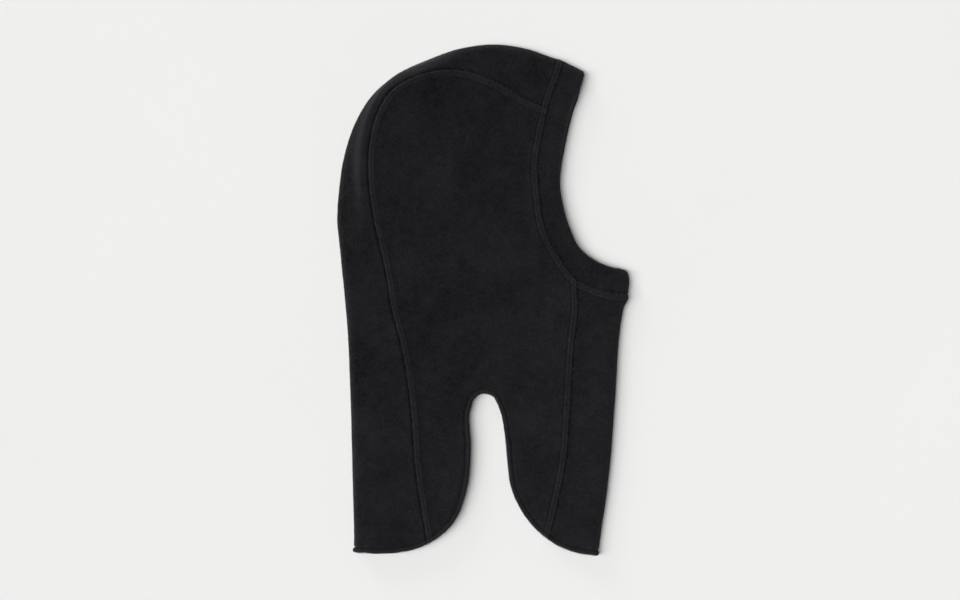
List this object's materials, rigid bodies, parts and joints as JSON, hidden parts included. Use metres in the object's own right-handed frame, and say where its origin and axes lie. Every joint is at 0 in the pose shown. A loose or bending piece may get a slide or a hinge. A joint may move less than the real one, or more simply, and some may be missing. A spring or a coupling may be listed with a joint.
{
  "type": "balaclava",
  "caption": "Brushed fleece balaclava lying flat on its side: hood with a doubled band round the face opening, folded back and chest flaps, shoulder notches, topstitched seams.",
  "frame": {"origin": "centre of the bounding box in plan, on the surface the balaclava lies on", "axes": "+X towards the wearer's front, +Y towards the crown, +Z towards the wearer's right side, which faces up"},
  "size_m": [0.2627, 0.4595, 0.0256],
  "materials": {
    "fleece": "black brushed fleece, matt with a soft nap",
    "thread": "black spun polyester thread, slightly glossier than the fleece",
    "satin": "plain off-white woven satin, blank"
  },
  "bodies": {
    "root": {"centre_panel": "fleece", "front_panel": "fleece", "left_side_panel": "fleece", "right_side_panel": "fleece", "face_band": "fleece", "crown_seam_overlock_left": "thread", "crown_seam_overlock_right": "thread", "front_seam_overlock_left": "thread", "front_seam_overlock_right": "thread", "face_band_seam_overlock": "thread", "hem_overlock_thread": "thread", "crown_topstitch_near_left": "thread", "crown_topstitch_near_right": "thread", "crown_topstitch_far_left": "thread", "crown_topstitch_far_right": "thread", "front_topstitch_near_left": "thread", "front_topstitch_near_right": "thread", "front_topstitch_far_left": "thread", "front_topstitch_far_right": "thread", "face_band_topstitch_near": "thread", "face_band_topstitch_far": "thread", "care_label": "satin"}
  },
  "joints": []
}
